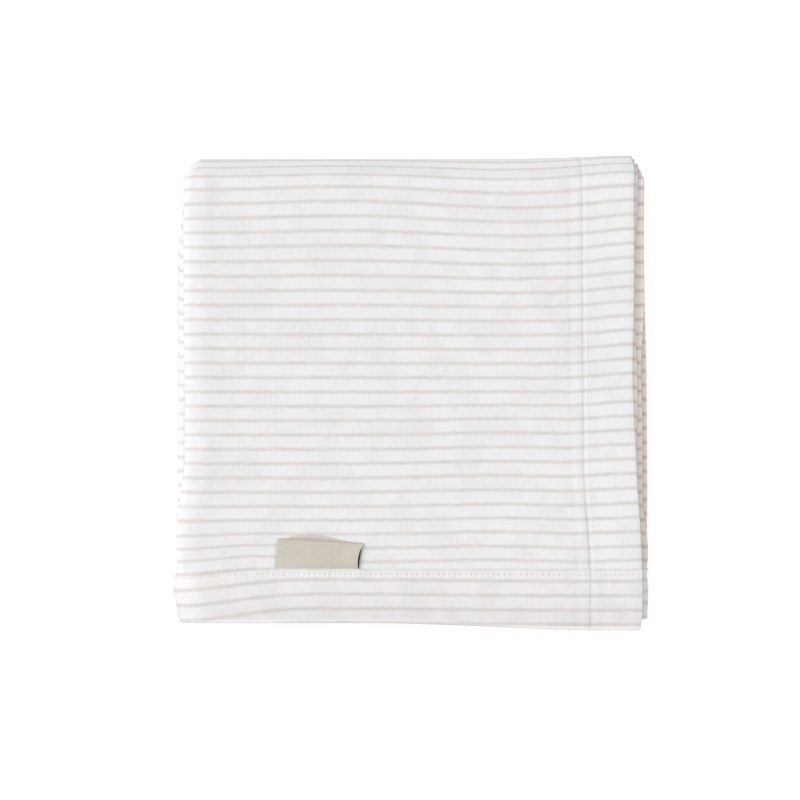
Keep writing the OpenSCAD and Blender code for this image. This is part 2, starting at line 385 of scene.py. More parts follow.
# %% Let the rows of the knit wander
def wander(x, y, level):
    """The drift in Y, in metres, of the rows of the knit, from how it was smoothed by hand."""
    far = ease(y, 30 * MM, 115 * MM)
    near = ease(y, 10 * MM, -20 * MM)
    rows = -2.1 * swell(x, 54 * MM, 38 * MM) * far
    rows += 1.9 * swell(x, -40 * MM, 45 * MM) * far
    rows += 1.35 * swell(x, 47 * MM, 36 * MM) * near
    rows -= 0.43 * swell(y, 20 * MM, 75 * MM)
    rows += 3.0 * ease(y, -76 * MM, -95 * MM) * ease(x, -25 * MM, -60 * MM)
    at_hem = ease(y, -70 * MM, -86 * MM) * ease(x, -75 * MM, -45 * MM)
    rows -= (0.5 + 0.5 * ease(x, 25 * MM, 60 * MM)) * at_hem
    rows += 0.3 * ease(x, -70 * MM, left_x) * swell(y, 60 * MM, 60 * MM)
    rows -= 0.6 * swell(x, 45 * MM, 38 * MM) * swell(y, 45 * MM, 28 * MM)
    rows += 0.9 * swell(x, 103 * MM, 24 * MM) * swell(y, -30 * MM, 24 * MM)
    rows += 0.4 * swell(x, 5 * MM, 28 * MM) * swell(y, -48 * MM, 22 * MM)
    rows += (1.65 + 1.0 * ease(y, -95 * MM, 10 * MM)) * ease(x, 79 * MM, 124 * MM)
    rows -= 1.4 * ease(x, 90 * MM, 120 * MM) * ease(y, 98 * MM, 114 * MM)
    return rows * MM * upper_plies(level) * ease(y, -104 * MM, -96 * MM)


# %% Droop the edges and roll the surface
def droop(x, y, z):
    """The drop in Z, in metres, at the edges and over the soft surface. The two faces that
    meet inside the last fold stay level at the hinge, so they open out flat."""
    high = np.clip((z - fold_z) / (leaf_top - fold_z), 0, 1)
    middle = swell(z, fold_z, 6 * MM) * ease(y, fold_y - 2 * MM, fold_y - 40 * MM)
    left = ease(x, left_x + 16 * MM, left_x - 4 * MM)
    near = ease(y, near_end + 18 * MM, near_end - 3 * MM)
    right = ease(x, right_x - 14 * MM, right_x + 2 * MM)
    drop = 3.4 * MM * left ** 1.5 * high - 0.55 * MM * swell(x, -117 * MM, 7 * MM) * high ** 2
    drop += (2.6 - 1.3 * ease(x, -50 * MM, -110 * MM)) * MM * near ** 1.5 * high ** 1.2
    drop += 0.9 * MM * right ** 1.5 * high
    slope = 1.1 * MM * np.clip(-x / (128 * MM), -0.4, 1)
    roll = np.sin(x / (19 * MM) + 1.2 * np.sin(y / (33 * MM)) + 0.4)
    roll += 0.8 * np.sin(y / (23 * MM) + 0.7 * np.sin(x / (41 * MM)) + 1.9)
    roll += 0.6 * np.sin((x + y) / (14 * MM) + 1.1)
    return drop + slope * high ** 2 + 0.16 * MM * roll * np.maximum(high ** 2, 0.7 * middle)


# %% Settle any cloud of points
def ply_level(points, level):
    """The height of a ply on the top leaf, kept round the roll and let go under it."""
    y, z = points[..., 1], points[..., 2]
    under_roll = ease(y, fold_y + 8 * MM, fold_y) * (z < fold_z)
    return level + (z - level) * under_roll


def settle(points, level=None):
    """The same points after the packet has settled."""
    x, y, z = np.moveaxis(np.asarray(points, float), -1, 0)
    level = z if level is None else level
    rim = ease(np.abs(x), 95 * MM, 126 * MM)
    ripple = np.sin(z / (2.9 * MM) + 1.4 * np.sin(y / (47 * MM)))
    move_x = lean_left(x, y, z) + lean_right(x, y, z, level) + 0.5 * MM * rim * ripple
    return np.stack((x + move_x, y + slide_ends(x, y, z), z - droop(x, y, z)), axis=-1)


probe = settle(np.array([[left_x, 0, leaf_top], [right_x, 0, leaf_top]]))
print("settled left and right edge of the top, mm:", np.round(probe / MM, 2).tolist())

# %% [markdown]
# ## Cloth with a real thickness
# A sheet could be a plane with a Solidify modifier. Here the two faces are built
# from the middle surface and its normals, with a rounded rim, so the thickness is
# the true one even in the tight bends, and each point carries its place on the
# flat cloth. The finish reads that place to lay stripes and ribs.

# %% Find the normals of a grid
def unit(vectors):
    """The same directions with a length of one."""
    return vectors / np.maximum(np.linalg.norm(vectors, axis=-1, keepdims=True), 1e-12)


def grid_normals(points):
    """Unit normals of a grid of points."""
    return unit(np.cross(np.gradient(points, axis=0), np.gradient(points, axis=1)))


# %% Walk round the rim of a grid
def rim_of(rows, columns):
    """Index pairs round a grid's rim, with the step that leads off the grid at each."""
    walk = [(i, 0, 0, -1) for i in range(rows)]
    walk += [(rows - 1, j, 1, 0) for j in range(1, columns)]
    walk += [(i, columns - 1, 0, 1) for i in range(rows - 2, -1, -1)]
    walk += [(0, j, -1, 0) for j in range(columns - 2, 0, -1)]
    return np.array(walk)


# %% Number the faces of a closed sheet
def sheet_faces(rows, columns, walk):
    """Faces of a sheet's upper side, lower side and rim, for points in that order."""
    count = rows * columns
    index = np.arange(count).reshape(rows, columns)
    a, b = index[:-1, :-1].ravel(), index[1:, :-1].ravel()
    c, d = index[1:, 1:].ravel(), index[:-1, 1:].ravel()
    top_faces = np.column_stack((a, b, c, d))
    low_faces = np.column_stack((d, c, b, a)) + count
    here = index[walk[:, 0], walk[:, 1]]
    nxt = np.roll(here, -1)
    mid = 2 * count + np.arange(len(walk))
    mid_next = np.roll(mid, -1)
    rim_up = np.column_stack((mid, mid_next, nxt, here))
    rim_low = np.column_stack((here + count, nxt + count, mid_next, mid))
    return np.vstack((top_faces, low_faces, rim_up, rim_low))


# %% Build a thick sheet from a grid
def thick_sheet(name, points, across, along, thick, rounding=0.4, third=None):
    """A closed mesh object for a sheet of cloth whose middle surface is a grid of points. The
    third value kept with each point is 1 on the upper face and 0 on the lower, or as given."""
    rows, columns = across.shape
    normals = grid_normals(points)
    upper = points + normals * thick / 2
    lower = points - normals * thick / 2
    walk = rim_of(rows, columns)
    i, j, di, dj = walk.T
    inward_i = np.clip(i - di, 0, rows - 1)
    inward_j = np.clip(j - dj, 0, columns - 1)
    off = unit(points[i, j] - points[inward_i, inward_j])
    rim = points[i, j] + off * thick * rounding
    faces = sheet_faces(rows, columns, walk)
    vertices = np.vstack((upper.reshape(-1, 3), lower.reshape(-1, 3), rim))
    mesh = bpy.data.meshes.new(name)
    mesh.from_pydata(vertices.tolist(), [], faces.tolist())
    mesh.shade_smooth()
    mesh.set_sharp_from_angle(angle=math.radians(40))
    flat = np.zeros((len(vertices), 3), np.float32)
    flat[:, 0] = np.concatenate((across.ravel(), across.ravel(), across[i, j]))
    flat[:, 1] = np.concatenate((along.ravel(), along.ravel(), along[i, j]))
    if third is None:
        count = rows * columns
        flat[:, 2] = np.concatenate((np.ones(count), np.zeros(count), np.full(len(walk), 0.5)))
    else:
        flat[:, 2] = np.concatenate((third.ravel(), third.ravel(), third[i, j]))
    place = mesh.attributes.new("flat_cloth", "FLOAT_VECTOR", "POINT")
    place.data.foreach_set("vector", flat.ravel())
    sheet = bpy.data.objects.new(name, mesh)
    bpy.context.scene.collection.objects.link(sheet)
    print(name, "faces:", len(faces))
    return sheet


# %% [markdown]
# ## Sockets that add up
# Finishes need arithmetic on shader values. Wiring Math nodes by hand hides the
# idea, so one small class wraps a socket, and plus, minus, times and divide on it
# add the node. Every other node comes from its one method.

# %% Wrap a shader socket
class Wire:
    """A shader socket; arithmetic on it adds Math nodes to its tree."""

    def __init__(self, tree, socket=None):
        self.tree = tree
        self.socket = socket

    def node(self, kind, settings, sockets, output=0):
        """Add a node: its settings first, then the values or links of its sockets."""
        made = self.tree.nodes.new(kind)
        for key, value in settings.items():
            setattr(made, key, value)
        for key, value in sockets.items():
            if isinstance(value, Wire):
                self.tree.links.new(value.socket, made.inputs[key])
            else:
                made.inputs[key].default_value = value
        return Wire(self.tree, made.outputs[output])

    def maths(self, operation, first, second=0.0):
        """Add a Math node."""
        return self.node("ShaderNodeMath", {"operation": operation}, {0: first, 1: second})

    def __add__(self, other):
        return self.maths("ADD", self, other)

    def __radd__(self, other):
        return self.maths("ADD", other, self)

    def __sub__(self, other):
        return self.maths("SUBTRACT", self, other)

    def __rsub__(self, other):
        return self.maths("SUBTRACT", other, self)

    def __mul__(self, other):
        return self.maths("MULTIPLY", self, other)

    def __rmul__(self, other):
        return self.maths("MULTIPLY", other, self)

    def __truediv__(self, other):
        return self.maths("DIVIDE", self, other)

    def __rtruediv__(self, other):
        return self.maths("DIVIDE", other, self)

    def __abs__(self):
        return self.maths("ABSOLUTE", self)

    def fraction(self):
        return self.maths("FRACT", self)

    def wave(self):
        return self.maths("SINE", self)

    def part(self, axis):
        """One of the three values of a vector."""
        return self.node("ShaderNodeSeparateXYZ", {}, {0: self}, axis)

    def soft(self, start, end):
        """A soft ramp from 0 at start to 1 at end."""
        return self.node(
            "ShaderNodeMapRange",
            {"interpolation_type": "SMOOTHSTEP"},
            {"Value": self, "From Min": start, "From Max": end, "To Min": 0.0, "To Max": 1.0},
        )

    def mix(self, first, second):
        """A colour between two colours, with this value as the share of the second."""
        return self.node(
            "ShaderNodeMix",
            {"data_type": "RGBA", "clamp_factor": True},
            {0: self, 6: first, 7: second},
            2,
        )


# %% Mix colours as they are seen on a screen
def dye(red, green, blue):
    """A colour from screen values of 0 to 255, as the linear colour that shaders use."""
    linear = []
    for value in (red, green, blue):
        share = value / 255
        linear.append(share / 12.92 if share <= 0.04045 else ((share + 0.055) / 1.055) ** 2.4)
    return (*linear, 1.0)


def new_finish(name):
    """A material with its node desk and its main shader."""
    material = bpy.data.materials.new(name)
    material.use_nodes = True
    shader = material.node_tree.nodes["Principled BSDF"]
    return material, Wire(material.node_tree), shader


def plug(wire, shader, socket):
    """Link a value to a socket of the main shader."""
    wire.tree.links.new(wire.socket, shader.inputs[socket])


def emboss(height, shader, strength, depth):
    """Give the main shader a bump, where a height of one stands for a depth in metres."""
    sockets = {"Strength": strength, "Distance": depth, "Height": height}
    plug(height.node("ShaderNodeBump", {}, sockets), shader, "Normal")


# %% [markdown]
# ## The knit
# The cloth is a soft cotton knit in off-white, with a thin line of grey-beige
# yarn about every eight millimetres. Fine ribs run the other way, and they make
# the edges of each line toothed. A printed picture would stretch over the folds.
# Nodes that read the place on the flat cloth give the same pitch everywhere,
# and let the lines fade and warm a little, as the yarn does.

# %% Place on the flat cloth
stripe_pitch, stripe_width, wale_pitch = 7.82 * MM, 1.35 * MM, 1.85 * MM
stitch_pitch, stitch_in = 2.8 * MM, 2.6 * MM


def cloth_place(desk):
    """The place on the flat cloth as a vector, and the lengths across and along it."""
    place = desk.node("ShaderNodeAttribute", {"attribute_name": "flat_cloth"}, {}, "Vector")
    return place, place.part(0), place.part(1)


def speckle(desk, place, across_size, along_size, detail=2.0):
    """A soft noise whose grains have these sizes on the cloth, in metres."""
    grid = desk.node(
        "ShaderNodeVectorMath",
        {"operation": "MULTIPLY"},
        {0: place, 1: (1 / across_size, 1 / along_size, 0.0)},
    )
    return desk.node(
        "ShaderNodeTexNoise",
        {"noise_dimensions": "2D"},
        {"Vector": grid, "Scale": 1.0, "Detail": detail, "Roughness": 0.55},
    )


# %% Mix the grain and the stripes of the knit
def knit_grain(desk, place, across):
    """The ribs of the knit, and the noises of its drift, tufts, thickness, tint and patches."""
    wale = (across / wale_pitch).fraction()
    tooth = abs(wale - 0.5) * 2.0
    drift = speckle(desk, place, 9 * MM, 30 * MM)
    tuft = speckle(desk, place, 1.7 * MM, 5.5 * MM)
    thick = speckle(desk, place, 14 * MM, 9 * MM)
    tint = speckle(desk, place, 22 * MM, 5 * MM)
    cloud = speckle(desk, place, 16 * MM, 24 * MM, 3.0)
    return tooth, drift, tuft, thick, tint, cloud.soft(0.38, 0.66)


def stripe_line(rows, tooth, drift, tuft, thick):
    """The share of stripe yarn for lengths along the cloth, with toothed and uneven edges."""
    bent = rows + (tooth - 0.5) * (0.16 * MM) + (drift - 0.5) * (0.7 * MM)
    bent = bent + (tuft - 0.5) * (0.8 * MM)
    off_line = abs((bent / stripe_pitch).fraction() - 0.5) * stripe_pitch
    line = 1 - off_line.soft(0.0, 1.35 * stripe_width)
    return line * (0.55 + 0.8 * thick)


# %% Mark the needle holes of a hem
def needle_row(desk, place, across, off_row, outside_bend_light):
    """The puffs of knit between the needle holes of one row, and the holes. The holes fade where a
    bend is painted lighter as painted light, and in the thick cloth beside the right edge."""
    worn = speckle(desk, place, 5 * MM, 40 * MM).soft(0.3, 0.7)
    off_hole = abs((across / stitch_pitch).fraction() - 0.5)
    puff = (1 - off_row.soft(0.5 * MM, 1.8 * MM)) * off_hole.soft(0.15, 0.4)
    hole = (1 - off_row.soft(0.25 * MM, 1.05 * MM)) * (1 - off_hole.soft(0.05, 0.24)) * worn
    return puff, hole * outside_bend_light * (0.25 + 0.75 * across.soft(36 * MM, 44 * MM))


# %% Paint the shade in the seams and on the tight folds
def press_and_shade_seam(colour, off_seam, along, thick, tint):
    """A colour with the dark line along a seam, partly the seam's press mark and partly painted
    shade in its valley, darkest near the hem.
    """
    crease_shade = 1 - abs(off_seam).soft(0.1 * MM, 1.1 * MM)
    crease_shade = crease_shade * (0.02 + 0.14 * thick + 0.3 * along.soft(85 * MM, 30 * MM) * tint)
    return crease_shade.mix(colour, dye(176, 170, 166))


def paint_fold_shade(colour, off_fold, along, far_limit, line):
    """A colour with painted warm shade on a tight fold, up to a limit along the cloth."""
    fold_shade = 1 - abs(off_fold).soft(3 * MM, 12 * MM)
    if far_limit:
        fold_shade = fold_shade * along.soft(far_limit, far_limit - 26 * MM)
    return fold_shade.mix(colour, line.mix(dye(250, 241, 235), dye(222, 204, 193)))


# %% Knit the striped finish
def knit_finish(name, phase, hole_rows=(), painted_fold_shades=(), pressed_shaded_seams=(), warm=0.0, doubled=None, painted_light_bends=()):
    """The striped knit. phase shifts the stripes along the cloth. hole_rows are rows of needle
    holes, in metres from the hem's edge, with their strength; with them the hem's edge gets a thin
    line of painted shade. painted_fold_shades are places across the cloth where a tight fold is
    painted with warm shade, and how far along the cloth it is. pressed_shaded_seams are places
    across the cloth where a seam runs, darkened partly as the seam's press mark and partly as
    painted shade in its valley. warm darkens and warms the yarn. doubled is the width of a side
    hem, which looks whiter because it hides what is below. painted_light_bends are bends painted
    lighter, as painted light, with their needle holes fainter: which length is meant, its value in
    the middle, how far from there the effect is full and where it ends, and its strength."""
    material, desk, shader = new_finish(name)
    place, across, along = cloth_place(desk)
    tooth, drift, tuft, thick, tint, patch = knit_grain(desk, place, across)
    line = stripe_line(along + phase, tooth, drift, tuft, thick)
    yarn = tint.soft(0.35, 0.65).mix(dye(219 - 3 * warm, 218 - 6 * warm, 217 - 6 * warm),
                                     dye(225 - 3 * warm, 219 - 6 * warm, 216 - 6 * warm))
    ground = patch.mix(dye(243 - 3 * warm, 242 - 4 * warm, 242 - 5 * warm),
                       dye(239 - 3 * warm, 239 - 4 * warm, 238 - 5 * warm))
    ground = (tuft.soft(0.3, 0.75) * (0.1 + 0.32 * patch)).mix(ground, dye(231, 229, 228))
    if doubled:
        two_plies = across.soft(doubled + MM, doubled - MM)
        ground = (two_plies * 0.2).mix(ground, dye(250, 250, 250))
        yarn = (two_plies * 0.6).mix(yarn, dye(220, 219, 218))
    outside_bend_light = 1.0
    # Painted light: each listed bend has its ground and yarn painted lighter and its needle holes
    # fainter.
    for axis, middle, full, gone, strength in painted_light_bends:
        painted_bend_light = (1 - abs(place.part(axis) - middle).soft(full, gone)) * strength
        ground = painted_bend_light.mix(ground, dye(254, 253, 252))
        yarn = (painted_bend_light * 0.5).mix(yarn, dye(240, 238, 236))
        outside_bend_light = (1 - painted_bend_light) * outside_bend_light
    colour = line.mix(ground, yarn)
    rib_shade = (1 - tooth).soft(0.5, 1.0) * patch * tint.soft(0.3, 0.7) * 0.15
    colour = rib_shade.mix(colour, dye(212, 207, 204))
    height = tooth * 0.22 + tuft * 0.7 + line * 0.2
    if hole_rows:
        # Painted shade: a thin dark line along the hem's edge, for the shadow at its step.
        from_edge = place.part(2)
        hem_edge_shade = (1 - abs(from_edge).soft(0.2 * MM, 1.1 * MM)) * (0.12 + 0.36 * thick)
        colour = hem_edge_shade.mix(colour, dye(206, 204, 203))
    for row, strength in hole_rows:
        off_row = abs(from_edge - row)
        puff, hole = needle_row(desk, place, across, off_row, outside_bend_light)
        colour = (puff * (1.6 * strength)).mix(colour, dye(249, 248, 248))
        colour = (hole * strength).mix(colour, dye(172, 166, 162))
        valley = 1 - off_row.soft(0.0, 1.3 * MM)
        height = height - (hole * 1.5 + valley) * strength
    # Seam lines: partly the seam's press mark, partly painted shade in its valley.
    for seam_place in pressed_shaded_seams:
        off_seam = across - seam_place + (drift - 0.5) * (0.9 * MM)
        colour = press_and_shade_seam(colour, off_seam, along, thick, tint)
    # Painted shade: each tight fold is painted warmer and darker.
    for fold_place, far_limit in painted_fold_shades:
        colour = paint_fold_shade(colour, across - fold_place, along, far_limit, line)
    plug(colour, shader, "Base Color")
    emboss(height, shader, 0.5, 0.22 * MM)
    plug(0.86 + 0.1 * tuft, shader, "Roughness")
    shader.inputs["Specular IOR Level"].default_value = 0.2
    shader.inputs["Sheen Weight"].default_value = 0.06
    shader.inputs["Sheen Roughness"].default_value = 0.6
    return material


# %% Find the seams, folds and bends on the flat cloth
stripe_shift = 1.3 * MM
below = plies_below(plain_step)
back_at = int(np.argmax(below[:, 0]))
front = visible_ply(plain_step)
seam_at = int(np.argmin(np.abs(front[:, 0] - side_low.x + seam_out)))
front_seams = [0.0, float(travelled(front)[seam_at])]
front_length = float(travelled(front)[-1])
back_length = float(travelled(below)[back_at])
tuck_at = back_at + int(np.argmin(below[back_at:, 0]))
edge_at = tuck_at + int(np.argmax(below[tuck_at:, 0]))
edge_length = float(travelled(below)[edge_at])
half_arc = math.pi * wrap_radius / 2
crest_at = int(np.argmax(far_roll[0]))
far_crest = fold_y - near_end - ply + far_roll[2][crest_at] * (outer_radius + ply_one)
# The bends that the finishes paint lighter, as painted light.
far_bend_light = (1, far_crest + 4 * MM, 12 * MM, 22 * MM, 0.7)
left_bend_light = (0, front_length - half_arc, 0.2 * half_arc, half_arc + 3 * MM, 0.85)
under_bend_light = (0, -half_arc, 0.2 * half_arc, half_arc + 3 * MM, 0.85)
hem_start = side_high.x - 0.3 * ply
hem_top = hem_start - wrap_x
hem_back = hem_top + 2 * half_arc + back_length
hem_bend_light = [
    (0, hem_top + half_arc, half_arc, half_arc + 32 * MM, 0.55),
    (0, hem_back, 5 * MM, 12 * MM, 0.9),
    (2, hem_run, 0.8 * MM, 2.6 * MM, 0.95),
]
print("right folds, mm along the under plies:", round(back_length / MM), round(edge_length / MM))

# %% Knit the finishes of the wrap
# The finishes paint warm shade on the tight folds, shade along the seams and light on the bends.
knit = knit_finish(
    "striped_knit", stripe_shift, pressed_shaded_seams=front_seams,
    painted_fold_shades=[(front_length + back_length, None), (front_length + edge_length, None)],
    doubled=side_high.x - side_low.x, painted_light_bends=[left_bend_light, far_bend_light],
)
fold_knit = knit_finish(
    "striped_knit_of_the_under_plies", stripe_shift,
    painted_fold_shades=[(back_length, None), (edge_length, far_crest - 30 * MM)],
    painted_light_bends=[under_bend_light, far_bend_light],
)
faint_row = 14.2 * MM
hem_knit = knit_finish(
    "striped_knit_of_the_end_hem", -1.8 * MM, [(stitch_in, 0.36), (faint_row, 0.06)],
    pressed_shaded_seams=[hem_start - side_low.x + 0.2 * MM], warm=0.7, painted_light_bends=hem_bend_light,
)
for finish in (knit, fold_knit, hem_knit):
    print(finish.name, "nodes:", len(finish.node_tree.nodes))

# %% [markdown]
# ## The cloth itself
# The wrap is one rectangle, but it is built as a few sheets that meet at hidden
# lines, because a turning fold has to bend while the leaves stay flat. The
# visible ply has the finest grid.


def rows_along(strip_of):
    """The rows of the knit along a strip, in metres, as the first ply takes them. The plies
    are one cloth and join at the sides, so the same row lies at the same place in each."""
    return strip_of["flat"] + strip_of["arc"] * (strip_of["radius"] + strip_of["side"] * ply_one)


def add_sheet(name, cut, strip_of, finish, replaced, first_row=0.0, across_start=0.0):
    """Lay one sheet of the wrap, settle it and dress it."""
    points, across, along = lay(cut, strip_of)
    across = across + across_start
    level = strip_of["level"] + strip_of["radius"] + strip_of["side"] * cut[:, 1][:, None]
    level = ply_level(points, level)
    rows = first_row + rows_along(strip_of) - wander(points[..., 0], points[..., 1], level)
    piece = thick_sheet(name, settle(points, level), across, rows, ply)
    piece.data.materials.append(finish)
    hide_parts(*replaced)
    return piece


def bend_last_fold(piece, half_height, tilt=0.0):
    """Bake a sheet's place into its mesh. The ends of a zone where it would bend from the lower
    half to the upper half at the last fold are worked out, but not used.
    """
    start = (0.0, fold_y + tilt, fold_z - half_height)
    end = (0.0, fold_y - tilt, fold_z + half_height)
    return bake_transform(piece)


# %% Lay the visible ply over the far roll
short_run = 4 * MM


def outer_strip(roll, step):
    """The strip of the top leaf: along it, round the far roll, and a short run below."""
    return strip(
        fold_z, outer_radius, 1,
        flat_run(near_end + ply, fold_y, step, 1),
        fold_run(fold_y, 1, *roll),
        flat_run(fold_y, fold_y - short_run, plain_step, -1),
    )


outer_fine = outer_strip(far_roll, fine_step)
top_ply = add_sheet(
    "top_ply_and_right_hem", visible_ply(fine_step), outer_fine, knit,
    ["top_leaf", "outer_fold", "right_hem_top_leaf", "right_hem_outer_fold"],
)
outer_bend, roll_tilt = 7 * MM, 3 * MM
bend_last_fold(top_ply, outer_bend, roll_tilt)

# %% Lay the plies under it
roll_plain = slumped_fold(24, roll_reach, roll_low, roll_power)
outer_plain = outer_strip(roll_plain, plain_step)
under_plies = add_sheet(
    "under_plies_and_left_hem", below, outer_plain, fold_knit,
    ["left_hem_top_leaf", "left_hem_outer_fold"],
)
under_bend = 6 * MM
bend_last_fold(under_plies, under_bend, roll_tilt)

# %% Lay the bottom leaf, the lower fold and the second leaf
def round_fold(count):
    """A half circle of radius one from the bottom round to the top."""
    angles = np.radians(np.linspace(-90, 90, count))
    return np.cos(angles), np.sin(angles), angles + math.pi / 2


def lower_leaves_strip(stop_y):
    """The strip of the bottom leaf, the lower fold and the second leaf, as far as stop_y."""
    return strip(
        lower_z, lower_radius, 1,
        flat_run(fold_y - short_run, lower_y, plain_step, -1),
        fold_run(lower_y, -1, *round_fold(16)),
        flat_run(lower_y, stop_y, plain_step, 1),
    )


inner_run = 6 * MM
lower_strip = lower_leaves_strip(fold_y - inner_run)
outer_rows = rows_along(outer_fine)[-1]
lower_leaves = add_sheet(
    "bottom_and_second_leaf", whole_cut, lower_strip, knit,
    ["bottom_leaf", "second_leaf", "lower_fold",
     "right_hem_bottom_leaf", "right_hem_second_leaf", "right_hem_lower_fold",
     "left_hem_bottom_leaf", "left_hem_second_leaf", "left_hem_lower_fold"],
    outer_rows,
)
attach(lower_leaves, "lower_half")

# %% Lay the third leaf
def third_leaf_strip(start_y):
    """The strip of the third leaf, from start_y to the hemmed far end."""
    return strip(
        fold_z, inner_radius, -1,
        flat_run(start_y, far_end + ply, plain_step, 1),
    )


inner_strip = strip(
    fold_z, inner_radius, -1,
    flat_run(fold_y - inner_run, fold_y, inner_run / 2, -1),
    fold_run(fold_y, 1, *round_fold(14)),
    flat_run(fold_y, fold_y - inner_run, inner_run / 2, 1),
)
inner_row = outer_rows + rows_along(lower_strip)[-1]
third_leaf = add_sheet(
    "third_leaf_plies", whole_cut, third_leaf_strip(fold_y - inner_run), knit,
    ["third_leaf", "right_hem_third_leaf", "left_hem_third_leaf"],
    inner_row + rows_along(inner_strip)[-1],
)
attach(third_leaf, "upper_half")

# %% [markdown]
# ## The inner fold
# When the top half is opened, the inner fold flattens. A sheet that bends between
# two bodies takes its share of the turn from its height, so a ply that lies close
# to the hinge line needs a thin bending zone and a ply further out a thick one.
# The fold is therefore laid ply by ply, and the left bend, which runs from the
# first ply to the fourth, in narrow strips. The height of each zone is worked out,
# but the sheets are not made to bend here.

# %% Lay the inner fold, ply by ply
bend = len(front) - bend_points
splits = [bend + k for k in (0, 4, 6, 8, 10)]
fourth_ply = joined(front[splits[-1]:], below[:back_at + 1])
under_from = len(front) - 1
inner_cuts = [("inner_fold_first_ply", front[:bend + 1], 0, ["inner_fold", "right_hem_inner_fold"])]
for letter, start, stop in zip("abcd", splits, splits[1:]):
    inner_cuts.append(("inner_fold_bend_" + letter, front[start:stop + 1], start, []))
inner_cuts += [
    ("inner_fold_fourth_ply", fourth_ply, splits[-1], []),
    ("inner_fold_third_ply", below[back_at:tuck_at + 1], under_from + back_at, []),
    ("inner_fold_second_ply", below[tuck_at:], under_from + tuck_at, ["left_hem_inner_fold"]),
]
for inner_name, inner_cut, first_point, inner_nodes in inner_cuts:
    inner_piece = add_sheet(
        inner_name, inner_cut, inner_strip, knit, inner_nodes,
        inner_row, float(travelled(whole_cut)[first_point]),
    )
    nearest = inner_radius - inner_cut[:, 1].max() - ply / 2
    bend_last_fold(inner_piece, max(nearest - 0.02 * MM, 0.06 * MM))

# %% [markdown]
# ## The end hems
# The two short ends of the wrap are turned over and sewn down. The near hem lies
# on top of the packet, over the side hem and round the left edge, and its inner
# edge makes the line that crosses the packet. A hem follows the same cut as the
# cloth, lifted by one thickness, and its outer edge turns back into the cloth.
# It swells a little between the stitches and the edge, and puckers at the row.

# %% Draw the line that an end hem follows
def hem_line(step):
    """The cut of the packet without its side hems, with the lifting direction at each point."""
    stop = tuck_at + int(np.argmax(below[tuck_at:, 0] > tuck_low.x - MM))
    line = joined(
        straight((hem_start, ply_one), (wrap_x, ply_one), step),
        turn((wrap_x, wrap_level), wrap_radius, 90, 270, bend_points),
        below[:stop],
    )
    along = unit(np.gradient(line, axis=0))
    return line, np.column_stack((along[:, 1], -along[:, 0]))


# %% Place and lift an end hem
def hem_points(line, lifting, runs_y, lift, radius, side):
    """Points of an end hem before it settles, for places along Y and lifts off the cloth."""
    x = line[:, 0][:, None] + lifting[:, 0][:, None] * lift
    w = line[:, 1][:, None] + lifting[:, 1][:, None] * lift
    return np.stack((x, runs_y + 0 * x, fold_z + radius + side * w), axis=-1)


stitch_sink = 0.16 * MM
label_low, label_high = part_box("label_loop")


def tab_under(x):
    """1 where the ends of the label lie under the hem, and 0 beside them."""
    return ease(x, label_low.x - 3 * MM, label_low.x) * ease(x, label_high.x + 3 * MM, label_high.x)


def hem_lift(line, off_cloth, inward, side):
    """How far an end hem stands off the cloth, with its swell, the pinch and the puckers at its
    stitches and its soft dips. The near hem, whose side is 1, also rises over the label."""
    across = travelled(line)
    plump = 0.3 * MM * ease(inward, 3 * MM, 11 * MM) * ease(inward, 29 * MM, 19 * MM)
    pinch = stitch_sink * swell(inward, stitch_in, 1.2 * MM)
    pucker = 0.1 * MM * np.sin(across / (1.3 * MM) + 1.5 * np.sin(across / (9 * MM)))
    lift = off_cloth + plump - pinch + pucker[:, None] * swell(inward, stitch_in, 5 * MM)
    dips = np.sin(across / (4.6 * MM) + 1.9 * np.sin(across / (31 * MM)))
    lift = lift + 0.1 * MM * dips[:, None] * swell(inward, 12 * MM, 8 * MM)
    on_top = line[:, 1] > 0
    lift = lift - 1.7 * (seam_valley(line[:, 0]) * on_top)[:, None]
    if side > 0:
        over_tab = (tab_under(line[:, 0]) * on_top)[:, None]
        lift = lift + 0.4 * MM * over_tab * swell(inward, 0, 5 * MM)
    return lift


# %% Lay an end hem
def hem_rows(line, flat, inward):
    """The rows of the knit along an end hem, in metres. On top they drift as the hem does."""
    inner_edge, near_edge = hem_slides(line[:, 0])
    widened = (inner_edge - near_edge)[:, None] * np.clip(inward / hem_run, 0, 1)
    at_left = ease(line[:, 0], -60 * MM, -105 * MM)[:, None]
    at_right = ease(line[:, 0], -40 * MM, 80 * MM)[:, None]
    drift = at_left * (2.5 * MM + 0.05 * inward) + at_right * 0.8 * MM
    on_top = line[:, 1] > 0
    return flat + (widened - drift) * on_top[:, None]


def end_hem(name, end_y, in_y, radius, side, replaced):
    """One hemmed end of the wrap, as a turned band."""
    line, lifting = hem_line(fine_step)
    run = joined(
        straight((in_y, ply), (end_y + ply, ply), 1.5 * MM),
        turn((end_y + ply, ply / 2), ply / 2, 90, 270, 7),
    )
    across, flat = travelled(line), travelled(run)
    inward = in_y - run[:, 0]
    lift = hem_lift(line, run[:, 1], inward, side)
    points = hem_points(line, lifting, run[:, 0], lift, radius, side)
    rows = hem_rows(line, flat, inward)
    piece = thick_sheet(name, settle(points), across[:, None] + 0 * flat, rows, ply,
                        third=flat + 0 * rows)
    piece.data.materials.append(hem_knit)
    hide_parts(*replaced)
    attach(piece, "upper_half")
    return piece


plies = ("top", "second", "third", "bottom")
near_hem = end_hem("near_hem", near_end, near_hem_in, outer_radius, 1,
                   ["near_hem_" + name + "_ply" for name in plies])
end_hem("far_hem", far_end, far_hem_in, inner_radius, -1,
        ["far_hem_" + name + "_ply" for name in plies])

